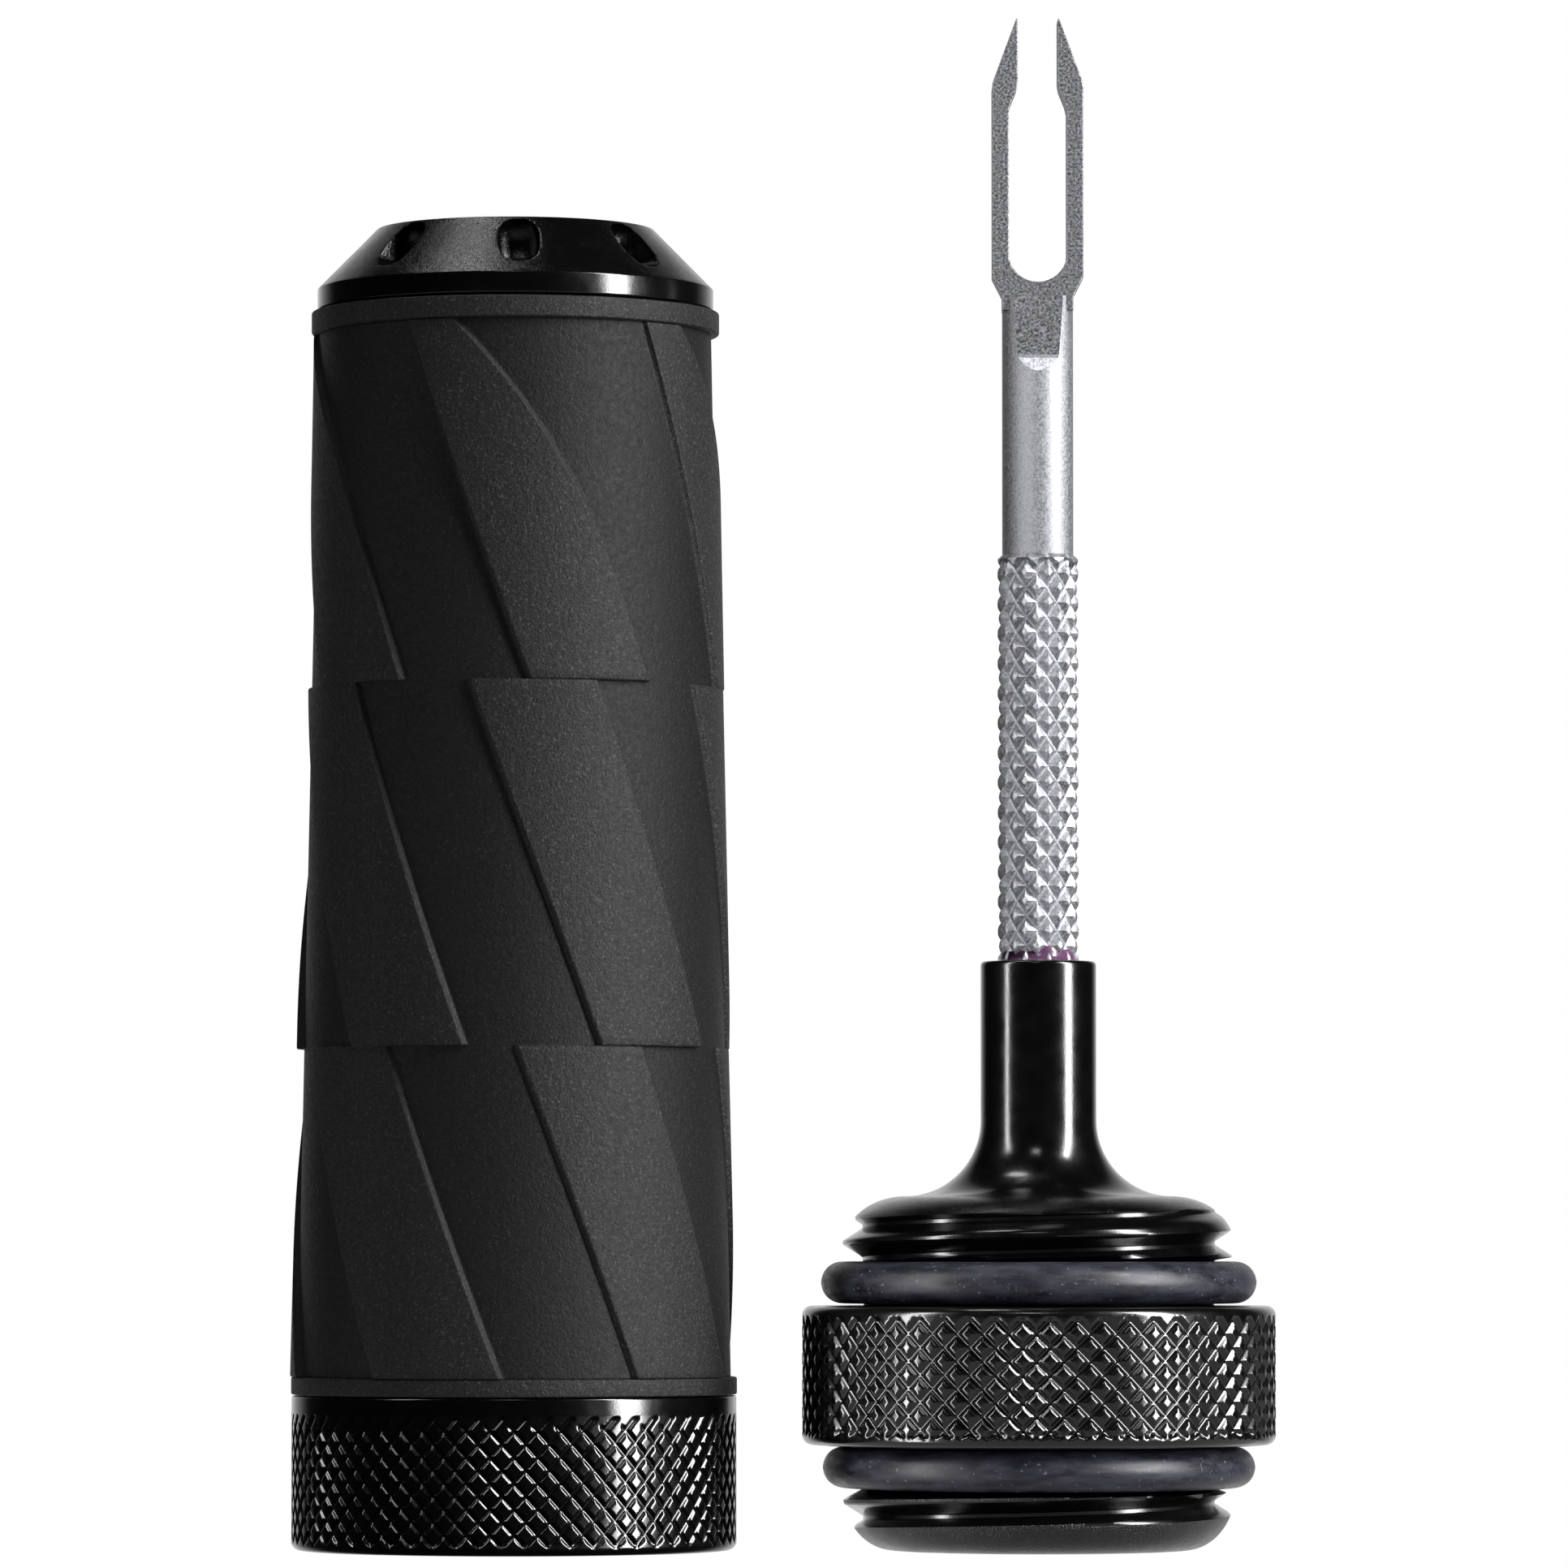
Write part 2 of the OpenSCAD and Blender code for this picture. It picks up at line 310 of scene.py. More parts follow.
# ---------------------------------------------------------------- materials

def material(name, colour, rough, metal=0.0, **inputs):
    mat = bpy.data.materials.new(name)
    mat.use_nodes = True
    shader = mat.node_tree.nodes["Principled BSDF"]
    shader.inputs["Base Color"].default_value = (*colour, 1)
    shader.inputs["Roughness"].default_value = rough
    shader.inputs["Metallic"].default_value = metal
    for key, value in inputs.items():
        shader.inputs[key.replace("_", " ")].default_value = value
    return mat


class Nodes:
    """Short calls for wiring a material's nodes."""

    def __init__(self, mat):
        self.tree = mat.node_tree
        self.shader = self.tree.nodes["Principled BSDF"]
        self.position = self.tree.nodes.new("ShaderNodeTexCoord").outputs["Object"]

    def add(self, kind, **values):
        node = self.tree.nodes.new(kind)
        for key, value in values.items():
            setattr(node, key, value)
        return node

    def link(self, source, target):
        self.tree.links.new(source, target)

    def stretched(self, scale):
        mapping = self.add("ShaderNodeMapping")
        mapping.inputs["Scale"].default_value = scale
        self.link(self.position, mapping.inputs["Vector"])
        return mapping.outputs["Vector"]

    def noise(self, scale, detail=2.0, vector=None, rough=0.5):
        node = self.add("ShaderNodeTexNoise")
        node.inputs["Scale"].default_value = scale
        node.inputs["Detail"].default_value = detail
        node.inputs["Roughness"].default_value = rough
        self.link(vector or self.position, node.inputs["Vector"])
        return node.outputs["Fac"]

    def remap(self, value, low, high, to_low, to_high):
        node = self.add("ShaderNodeMapRange")
        for key, number in zip(("From Min", "From Max", "To Min", "To Max"), (low, high, to_low, to_high)):
            node.inputs[key].default_value = number
        self.link(value, node.inputs["Value"])
        return node.outputs["Result"]

    def mix_colour(self, factor, first, second):
        node = self.add("ShaderNodeMix", data_type="RGBA")
        self.link(factor, node.inputs["Factor"])
        for socket, value in (("A", first), ("B", second)):
            target = [s for s in node.inputs if s.name == socket and s.type == "RGBA"][0]
            if isinstance(value, tuple):
                target.default_value = (*value, 1)
            else:
                self.link(value, target)
        return [s for s in node.outputs if s.type == "RGBA"][0]

    def bump(self, height, strength, distance, normal=None):
        node = self.add("ShaderNodeBump")
        node.inputs["Strength"].default_value = strength
        node.inputs["Distance"].default_value = distance
        self.link(height, node.inputs["Height"])
        if normal is not None:
            self.link(normal, node.inputs["Normal"])
        return node.outputs["Normal"]

    def colour(self, value):
        self.link(value, self.shader.inputs["Base Color"])

    def roughness(self, value):
        self.link(value, self.shader.inputs["Roughness"])

    def normal(self, value):
        self.link(value, self.shader.inputs["Normal"])


def anodised(name, rough, grain, shine=0.35):
    """Black anodised aluminium: fine turning lines, and a slightly uneven gloss."""
    mat = material(name, (0.0006, 0.0006, 0.0007), rough, Specular_IOR_Level=shine)
    n = Nodes(mat)
    turning = n.noise(1, 2, n.stretched((300, 300, 22000)))
    cloud = n.noise(900, 3)
    n.roughness(n.remap(cloud, 0.3, 0.7, rough - 0.03, rough + 0.05))
    n.colour(n.mix_colour(n.noise(14000, 1), (0.0003, 0.0003, 0.0004), (0.001, 0.001, 0.0011)))
    fine = n.bump(n.noise(12000, 2), 1, 0.00001 * grain)
    n.normal(n.bump(turning, 0.12, 0.000006, fine))
    return mat


def grip_rubber(name, dark, light, rough, grain, glint_speck, shine):
    """Matte moulded rubber with a sandy grain, and sparse bright specks painted into its colour as glints: painted
    highlights.
    """
    mat = material(name, dark, rough, Specular_IOR_Level=shine)
    n = Nodes(mat)
    sand = n.noise(9000, 3, rough=0.65)
    coarse = n.noise(4200, 2)
    base = n.mix_colour(n.remap(sand, 0.38, 0.66, 0, 1), dark, light)
    # sparse bright specks in the base colour: painted glints
    n.colour(n.mix_colour(n.remap(n.noise(8000, 1), 0.6, 0.7, 0, 1), base, (glint_speck, glint_speck, glint_speck * 1.05)))
    n.roughness(n.remap(coarse, 0.3, 0.7, rough - 0.07, rough + 0.08))
    fine = n.bump(sand, grain, 0.00004)
    n.normal(n.bump(coarse, grain / 2, 0.00006, fine))
    return mat


def seal_rubber():
    """O-ring rubber: slate with a soft bloom and specks of dust."""
    mat = material("seal_rubber", (0.02, 0.02, 0.03), 0.4, Specular_IOR_Level=0.28)
    n = Nodes(mat)
    bloom = n.noise(1, 4, n.stretched((600, 600, 2400)), rough=0.65)
    dust = n.remap(n.noise(5200, 2), 0.66, 0.74, 0, 1)
    base = n.mix_colour(n.remap(bloom, 0.35, 0.65, 0, 1), (0.0028, 0.0028, 0.0056), (0.0155, 0.0155, 0.0235))
    n.colour(n.mix_colour(dust, base, (0.07, 0.07, 0.085)))
    n.roughness(n.remap(bloom, 0.3, 0.7, 0.34, 0.55))
    n.normal(n.bump(n.noise(9000, 2), 0.25, 0.00002))
    return mat


def steel(name, shade, rough, streak, pits, spread=0.2):
    """Machined and tumbled stainless steel: grainy flats and fine marks along the rod.

    spread is how far the grain's light and dark specks lie from the middle shade.
    """
    mat = material(name, (0.62, 0.63, 0.65), rough, metal=1.0)
    n = Nodes(mat)
    grain = n.noise(9000, 3, rough=0.6)
    along = n.noise(1, 2, n.stretched((9000, 9000, 500)))
    tint = np.array((0.97, 0.98, 1.04)) * shade
    dark, light = (tuple((tint * level).tolist()) for level in (0.66 - spread, 0.66 + spread))
    n.colour(n.mix_colour(n.remap(grain, 0.35, 0.65, 0, 1), dark, light))
    n.roughness(n.remap(grain, 0.3, 0.7, rough - 0.07, rough + 0.1))
    marks = n.bump(grain, 1, 0.000004 * pits)
    n.normal(n.bump(along, streak, 0.00001, marks))
    return mat


def plug_rubber():
    """Tacky brown repair strip: fibres under a glossy gum."""
    mat = material("plug_rubber", (0.09, 0.04, 0.02), 0.4, Coat_Weight=0.3, Coat_Roughness=0.25)
    n = Nodes(mat)
    fibre = n.noise(1, 4, n.stretched((5200, 5200, 900)), rough=0.7)
    n.colour(n.mix_colour(n.remap(fibre, 0.35, 0.68, 0, 1), (0.035, 0.015, 0.008), (0.16, 0.08, 0.04)))
    n.roughness(n.remap(fibre, 0.3, 0.7, 0.3, 0.6))
    n.normal(n.bump(fibre, 0.6, 0.00012))
    return mat


def compound_material():
    """Purple anaerobic compound, cured glossy and slightly clear."""
    mat = material("locking_compound", (0.25, 0.04, 0.3), 0.18, Transmission_Weight=0.55, IOR=1.45)
    n = Nodes(mat)
    n.colour(n.mix_colour(n.noise(2500, 3), (0.085, 0.035, 0.09), (0.17, 0.08, 0.16)))
    n.normal(n.bump(n.noise(3000, 2), 0.3, 0.00006))
    return mat


BLACK = anodised("black_anodised", 0.17, 0.3)
BLACK_KNURL = anodised("black_anodised_knurl", 0.19, 0.06, 0.52)
BLACK_MATTE = anodised("black_anodised_matte", 0.17, 2.2)
BLACK_FOOT = anodised("black_anodised_foot", 0.33, 7)
# the last but two value of each rubber is the colour of its painted glints
GRIP = grip_rubber("grip_sandy", (0.003, 0.003, 0.0032), (0.0095, 0.0095, 0.01), 0.6, 1.0, 0.022, 0.15)
GRIP_SMOOTH = grip_rubber(
    "grip_smooth", (0.0019, 0.0019, 0.002), (0.0042, 0.0042, 0.0045), 0.58, 0.8, 0.009, 0.12)
SEAL = seal_rubber()
STEEL_KNURL = steel("fork_steel_knurl", 0.42, 0.5, 0.05, 1.5)
STEEL_ROD = steel("fork_steel_rod", 0.3, 0.57, 0.2, 1)
STEEL_FLAT = steel("fork_steel_flat", 0.18, 0.45, 0.1, 7, 0.45)
# a brighter copy of the fork steel for the run-out's upward faces: a painted highlight
STEEL_RUN_OUT_HIGHLIGHT = steel("fork_steel_run_out_painted_highlight", 0.62, 0.6, 0, 2)
PLUG = plug_rubber()
COMPOUND = compound_material()


def finish_piece(obj, body, replaced, mats):
    """Gives a piece its materials, its body and the CAD nodes that it stands for."""
    for mat in mats:
        obj.data.materials.append(mat)
    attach(obj, body)
    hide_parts(*replaced)
    return obj


def paint(obj, chooser):
    """Sets each face's material index as chooser(r, z, normal), in mm round the piece's axis."""
    x = HANDLE_X if obj["axis"] == "handle" else INSERT_X
    for face in obj.data.polygons:
        c = face.center / MM
        face.material_index = chooser(math.hypot(c.x - x, c.y), c.z, face.normal)


# ---------------------------------------------------------------- handle

def barrel():
    """Tube and knurled collar, with a short female thread in its mouth and a relief above it."""
    edge, band_z = 0.4, 6.28
    thread_start, thread_end, thread_depth = 0.32, 1.55, 0.85
    thread_crest = 0.965  # midway between the insert's ridges once it is screwed in
    knurl = Knurl(COLLAR_R, 60, 1.165, 31.4, 2.71, profile=COLLAR_GROOVE, steps=16, z0=0.3, z1=band_z)
    azimuth = knurl.azimuths()
    knurled, family = knurl.rows(HANDLE_X, run_down=(0.2, 0.2, 0.38), run_up=(0.2, 0.12, 0))
    bottom = rows_of(HANDLE_X, azimuth, [(9.3, 0), (COLLAR_R - edge, 0)]
                     + arc(COLLAR_R - edge, edge, edge, edge, -75, -25, 4))
    shoulder = rows_of(HANDLE_X, azimuth, round_corners([
        (COLLAR_R, band_z + 0.03), (COLLAR_R, COLLAR_H), (TUBE_R, COLLAR_H), (TUBE_R, TUBE_TOP),
        (CAP_BORE_R, TUBE_TOP), (CAP_BORE_R, CAP_BORE_Z), (BORE_R, CAP_BORE_Z), (BORE_R, MOUTH_DEPTH),
        (MOUTH_R, MOUTH_DEPTH), (MOUTH_R, thread_end)], 0.09, 3))
    female = thread_rows(
        HANDLE_X, azimuth, thread_start, thread_end, PITCH, thread_crest,
        lambda h, z: MOUTH_R - thread_depth * h * smoothstep((z - thread_start) / 0.5)
        * smoothstep((thread_end - z) / 0.3))[::-1]
    lead = rows_of(HANDLE_X, azimuth, [(MOUTH_R, thread_start), (MOUTH_R + 0.1, 0.15), (9.3, 0)])
    points = stack(bottom, knurled, shoulder, female, lead)
    pattern = split_pattern(points, [(len(bottom), family)])
    obj = skin(points, "barrel_turned", pattern, sharp_deg=62)
    obj["axis"] = "handle"
    finish_piece(obj, "handle", ["barrel"], [BLACK, BLACK_KNURL])
    paint(obj, lambda r, z, normal: int(r > COLLAR_R - 0.5 and z < band_z))
    return obj


def sleeve():
    """Rubber sleeve: three rows of slanted raised bands between two rims, each row cut off square."""
    bands, step_deg = 10, 0.5  # raised and sunk bands take turns
    band_deg = 360 / bands
    lean = 2.17  # degrees to the right for each mm down
    bend_deg = 22  # how far the top row's right edges bend over towards the rim
    relief, ease = 0.36, 0.07
    # For each row from the top: the azimuth of a raised band's left edge at the bottom, and the bands' height
    # at the row's top and bottom as a share of the relief
    rows = ((5.0, 0.75, 0.95), (24.3, 0.72, 1.0), (34.0, 0.6, 1.0))
    count = round(360 / step_deg)
    per_band = count // bands
    number, place_in = np.divmod(np.arange(count), per_band)
    share = place_in / per_band
    raised = number % 2 == 0
    height = np.where(raised, 0.8 + 0.2 * share, 0.0)
    height[raised & (place_in == 0)] = 0.06
    height[raised & (place_in == 1)] = 0.62
    height[~raised & (place_in == 0)] = 0.94
    height[~raised & (place_in == 1)] = 0.10
    bend = np.where(raised, share, 1 - share)
    body, previous = [], None
    for k, (left, high_share, low_share) in enumerate(rows):
        z_high, z_low = SLEEVE_ROWS[3 - k], SLEEVE_ROWS[2 - k]
        z = np.concatenate([[z_high], np.linspace(z_high - ease, z_low + ease, 46), [z_low]])[:, None]
        t = (z - z_low) / (z_high - z_low)
        azimuth = left + step_deg * np.arange(count)[None, :] - lean * (z - z_low)
        if k == 0:
            azimuth = azimuth - bend_deg * t ** 3 * bend[None, :]
        amount = relief * (low_share + (high_share - low_share) * t) * height[None, :]
        climb = (z - SLEEVE_ROWS[0]) / (SLEEVE_ROWS[3] - SLEEVE_ROWS[0])
        radius = SLEEVE_LOW_R + (SLEEVE_HIGH_R - SLEEVE_LOW_R) * climb + amount
        radius[[0, -1]] -= 0.03 * (height[None, :] > 0.5)
        turn = 0
        if previous is not None:  # start this row at the column that lies under the last row's first one
            turn = int(np.argmin(np.abs((azimuth[0] - previous + 180) % 360 - 180)))
        azimuth, radius = np.roll(azimuth, -turn, 1), np.roll(radius, -turn, 1)
        previous = azimuth[-1][0]
        body.append(place(HANDLE_X, np.radians(azimuth), radius, z))
    body = np.concatenate(body, 0)
    upper = round_corners([
        (TUBE_R + 0.02, SLEEVE_Z1 - 1), (TUBE_R + 0.02, SLEEVE_Z1), (SLEEVE_TOP_RIM_R, SLEEVE_Z1),
        (SLEEVE_TOP_RIM_R, SLEEVE_ROWS[3] + 0.02), (SLEEVE_HIGH_R - 0.02, SLEEVE_ROWS[3] + 0.01)], 0.1, 4)[1:]
    lower = round_corners([
        (SLEEVE_LOW_R - 0.02, SLEEVE_ROWS[0] - 0.01), (SLEEVE_RIM_R, SLEEVE_ROWS[0] - 0.02),
        (SLEEVE_RIM_R, SLEEVE_Z0), (TUBE_R + 0.02, SLEEVE_Z0)], 0.1, 4)
    first, last = (np.arctan2(row[:, 0] - HANDLE_X, -row[:, 1]) for row in (body[0], body[-1]))
    points = np.concatenate([
        rows_of(HANDLE_X, last, lower[-1:]), rows_of(HANDLE_X, first, upper), body,
        rows_of(HANDLE_X, last, lower)])
    points = np.concatenate([points, points[:, :1]], 1)
    obj = skin(points, "grip_sleeve_moulded")
    finish_piece(obj, "handle", ["grip_sleeve"], [GRIP_SMOOTH, GRIP])
    # the raised bands and the rims are sandy, and the sunk bands are smooth
    for face in obj.data.polygons:
        c = face.center / MM
        azimuth = math.degrees(math.atan2(c.x - HANDLE_X, -c.y))
        for k, (left, _, _) in enumerate(rows):
            z_high, z_low = SLEEVE_ROWS[3 - k], SLEEVE_ROWS[2 - k]
            if z_low < c.z < z_high:
                over = (azimuth - left + lean * (c.z - z_low)) % (2 * band_deg)
                bent = bend_deg * ((c.z - z_low) / (z_high - z_low)) ** 3 if k == 0 else 0
                face.material_index = int(over < band_deg - bent)
        if not SLEEVE_ROWS[0] < c.z < SLEEVE_ROWS[3]:
            face.material_index = 1
    return obj


def end_cap():
    """Screw cap with eight blind holes in its cone."""
    azimuth = columns(192)
    top = round_corners([
        (0, CAP_Z0 + 7.3), (4.0, CAP_Z0 + 7.3), (4.0, CAP_Z0), (CAP_THREAD_R - 0.3, CAP_Z0),
        (CAP_THREAD_R - 0.6, CAP_Z0 + 0.3)], 0.08, 3)
    thread = thread_rows(
        HANDLE_X, azimuth, CAP_Z0 + 0.3, CAP_BAND_Z - 1.1, 1.0, 0.0,
        lambda h, z: CAP_THREAD_R - 0.6 + 0.6 * h * smoothstep((z - CAP_Z0 - 0.3) / 0.5)
        * smoothstep((CAP_BAND_Z - 1.1 - z) / 0.4))
    cone = [(CAP_R + (CAP_TOP_R - CAP_R) * t, CAP_CONE_Z + (CAP_TOP - CAP_CONE_Z) * t)
            for t in np.linspace(0, 1, 14)[1:-1]]
    outside = round_corners([
        (CAP_THREAD_R - 0.6, CAP_BAND_Z - 1.1), (6.6, CAP_BAND_Z - 1.1), (6.6, CAP_BAND_Z),
        (CAP_R, CAP_BAND_Z), (CAP_R, CAP_CONE_Z), *cone, (CAP_TOP_R, CAP_TOP), (0, CAP_TOP)], 0.1, 4)
    points = stack(rows_of(HANDLE_X, azimuth, top), thread, rows_of(HANDLE_X, azimuth, outside))
    obj = skin(points, "end_cap_turned", sharp_deg=35)
    obj["axis"] = "handle"
    drill = hole_cutter()
    for mat in (BLACK, BLACK_MATTE):
        obj.data.materials.append(mat)
        drill.data.materials.append(mat)
    paint(obj, lambda r, z, normal: int(r > 4.5 and z > CAP_CONE_Z + 0.12))
    drill.data.polygons.foreach_set("material_index", [1] * len(drill.data.polygons))
    boolean = obj.modifiers.new("holes", "BOOLEAN")
    boolean.operation, boolean.solver, boolean.object = "DIFFERENCE", "EXACT", drill
    apply_modifiers(obj)
    bpy.data.objects.remove(drill)
    bevel = obj.modifiers.new("rims", "BEVEL")
    bevel.width, bevel.segments, bevel.limit_method = 0.05 * MM, 2, "ANGLE"
    bevel.angle_limit = math.radians(38)
    bevel.harden_normals = False
    apply_modifiers(obj)
    obj.data.set_sharp_from_angle(angle=math.radians(35))
    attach(obj, "cap")
    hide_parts("end_cap")
    return obj


def hole_cutter():
    """Eight radial cutters with rounded ends, a little taller than wide, as one object."""
    holes, first_deg, half_w, half_h, height = 8, 2.8, 0.96, 1.06, 59.56
    floor_r, end_depth = 6.5, 0.6
    bm = bmesh.new()
    outline = [(math.cos(a), floor_r - end_depth * math.sin(a)) for a in np.radians(np.linspace(90, 0, 9))]
    outline = [(0, floor_r - end_depth)] + outline[1:] + [(1, CAP_R + 1), (0, CAP_R + 1)]
    turns = np.linspace(0, TAU, 49)[:-1]
    for k in range(holes):
        heading = math.radians(first_deg + k * 360 / holes)
        out = Vector((math.sin(heading), -math.cos(heading), 0))
        side = Vector((math.cos(heading), math.sin(heading), 0))
        centre = Vector((HANDLE_X, 0, height))
        loops = []
        for r, reach in outline:
            loops.append([bm.verts.new((centre + out * reach + side * (half_w * r * squared(math.cos(t)))
                                        + Vector((0, 0, half_h * r * squared(math.sin(t))))) * MM) for t in turns])
        for low, high in zip(loops, loops[1:]):
            for i in range(len(turns)):
                j = (i + 1) % len(turns)
                bm.faces.new((low[i], low[j], high[j], high[i]))
    return finish_mesh(bm, "drills")


def squared(value, power=0.78):
    """A sine or cosine pushed outwards, which makes a circle squarer."""
    return math.copysign(abs(value) ** power, value)


def apply_modifiers(obj):
    evaluated = obj.evaluated_get(bpy.context.evaluated_depsgraph_get())
    mesh = bpy.data.meshes.new_from_object(evaluated)
    obj.modifiers.clear()
    old = obj.data
    obj.data = mesh
    bpy.data.meshes.remove(old)


# ---------------------------------------------------------------- insert

FOOT_ARC_H, DOME_ARC_H = 2.85, 2.4


def foot_edge(z):
    """Radius of the convex chamfer under the lower thread."""
    rise = np.clip(z / FOOT_ARC_H, 0, 1)
    return FOOT_R + (THREAD_R - FOOT_R) * np.sqrt(1 - (1 - rise) ** 2)


def dome_edge(z):
    """Radius of the dome over the upper thread."""
    start = DOME_TOP - DOME_ARC_H
    rise = np.clip((z - start) / DOME_ARC_H, 0, 1)
    return NECK_R + FLARE_R + (THREAD_R - NECK_R - FLARE_R) * np.sqrt(1 - rise ** 2)


def insert_body():
    """Both threads, the knurled ring, the dome, the flare and the neck."""
    knurl = Knurl(RING_R, 55, 1.235, 30.66, 8.13, profile=RING_GROOVE, steps=16, z0=RING_Z0 + 0.4,
                  z1=RING_Z1 - 0.4)
    edge = 0.45
    azimuth = knurl.azimuths()
    knurled, family = knurl.rows(INSERT_X)
    low_z0, low_z1 = 0.46, 2.84
    high_z0, high_z1 = 13.25, 15.62
    foot = [(0, 0)] + [(float(foot_edge(z)), z) for z in np.linspace(0, 1, 9) ** 2 * low_z0]
    depth = THREAD_R - ROOT_R
    lower = thread_rows(
        INSERT_X, azimuth, low_z0, low_z1, PITCH, 2.21 + PITCH / 4,
        lambda h, z: np.minimum(foot_edge(z), np.maximum(
            ROOT_R - 0.03 + (depth + 0.03) * h * smoothstep((low_z1 - z) / 0.25),
            foot_edge(z) - 2 * depth * smoothstep((z - 1.0) / 0.5))))
    groove_low = round_corners([
        (ROOT_R - 0.03, low_z1), (7.98, low_z1 + 0.05), (7.98, RING_Z0), (RING_R - edge, RING_Z0)],
        0.05, 2) + arc(RING_R - edge, RING_Z0 + edge, edge, edge, -75, -8, 5)
    groove_high = arc(RING_R - edge, RING_Z1 - edge, edge, edge, 8, 75, 5) + round_corners([
        (RING_R - edge, RING_Z1), (8.05, RING_Z1), (8.05, high_z0 - 0.05), (ROOT_R, high_z0)], 0.05, 2)
    upper = thread_rows(
        INSERT_X, azimuth, high_z0, high_z1, PITCH, 14.07 + PITCH / 4,
        lambda h, z: np.minimum(
            ROOT_R + depth * h * smoothstep((z - high_z0) / 0.2), dome_edge(z)))
    dome = [(float(dome_edge(z)), z) for z in DOME_TOP - np.linspace(1, 0, 10) ** 2 * (DOME_TOP - high_z1)]
    flare = arc(NECK_R + FLARE_R, DOME_TOP + FLARE_R, FLARE_R, FLARE_R, 268, 180, 26)
    neck = round_corners([
        (NECK_R, DOME_TOP + FLARE_R + 0.2), (NECK_R, NECK_TOP), (2.15, NECK_TOP),
        (2.15, NECK_TOP - 0.5), (1.88, NECK_TOP - 0.5), (1.88, 20.5), (0, 20.5)], 0.25, 6)
    points = stack(
        rows_of(INSERT_X, azimuth, foot), lower, rows_of(INSERT_X, azimuth, groove_low), knurled,
        rows_of(INSERT_X, azimuth, groove_high), upper, rows_of(INSERT_X, azimuth, dome + flare + neck))
    start = len(foot) + len(lower) + len(groove_low)
    pattern = split_pattern(points, [(start, family)])
    obj = skin(points, "insert_turned", pattern, sharp_deg=50)
    obj["axis"] = "insert"
    finish_piece(obj, "insert", ["insert_body"], [BLACK, BLACK_KNURL, BLACK_FOOT, BLACK_MATTE])
    paint(obj, lambda r, z, normal: 1 if r > RING_R - 0.5 else 2 if z < RING_Z0 - 2 and r > foot_edge(z) - 0.04
          else 3 * int(DOME_TOP - 1 < z < DOME_TOP + 0.6 and r > dome_edge(z) - 0.04))
    return obj


def o_ring(node, body):
    """Moulded ring with its faint parting line."""
    low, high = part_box(node)
    section = (high.z - low.z) / 2 / MM
    middle_z = (high.z + low.z) / 2 / MM
    ring_r = widest_r(node) - section
    around = columns(288)[None, :]
    section_turn = np.linspace(0, TAU, 41)[:, None]
    flash = 0.012 * np.exp(-((((section_turn + math.pi) % TAU) - math.pi) / 0.06) ** 2)
    wander = 1 + 0.004 * np.sin(3 * around + 1) * np.sin(5 * around)
    r = (section - 0.012) * wander + flash
    points = place(INSERT_X, around, ring_r + r * np.cos(section_turn), middle_z + r * np.sin(section_turn))
    obj = skin(points, node + "_moulded")
    return finish_piece(obj, body, [node], [SEAL])


def fork_rod():
    """Knurled shank with pointed pyramids."""
    knurl = Knurl(KNURL_SHANK_R, 10, 1.3725, -3.4, 37.98 + 1.3725 / 2,
                  profile=SHANK_GROOVE, steps=16,
                  z0=SHANK_Z0 + 0.3, z1=KNURL_TOP)
    azimuth = knurl.azimuths()
    knurled, family = knurl.rows(INSERT_X, run_down=(0.2, 0.5, 0))
    start = rows_of(INSERT_X, azimuth, [(0, SHANK_Z0), (SHANK_R - 0.1, SHANK_Z0), (SHANK_R, SHANK_Z0 + 0.1)])
    end = rows_of(INSERT_X, azimuth, [(SHANK_R - 0.02, KNURL_TOP + 0.15), (0, KNURL_TOP + 0.15)])
    points = stack(start, knurled, end)
    pattern = split_pattern(points, [(len(start), family)])
    obj = skin(points, "fork_knurled_shank", pattern, sharp_deg=28)
    return finish_piece(obj, "insert", ["fork"], [STEEL_KNURL])


def plate(name, outline, hole, depth_mm, bevel):
    """A plate cut to an outline of (x, z) points with a slot, depth_mm thick along Y, edges chamfered."""
    bm = bmesh.new()
    shape = outline if hole is None else outline + hole
    front = [bm.verts.new(((INSERT_X + x) * MM, -depth_mm / 2 * MM, z * MM)) for x, z in shape]
    face = bm.faces.new(front)
    made = bmesh.ops.extrude_face_region(bm, geom=[face])
    moved = [g for g in made["geom"] if isinstance(g, bmesh.types.BMVert)]
    bmesh.ops.translate(bm, vec=(0, depth_mm * MM, 0), verts=moved)
    obj = finish_mesh(bm, name)
    mod = obj.modifiers.new("edges", "BEVEL")
    mod.width, mod.segments, mod.limit_method = bevel * MM, 2, "ANGLE"
    mod.angle_limit = math.radians(50)
    apply_modifiers(obj)
    return obj


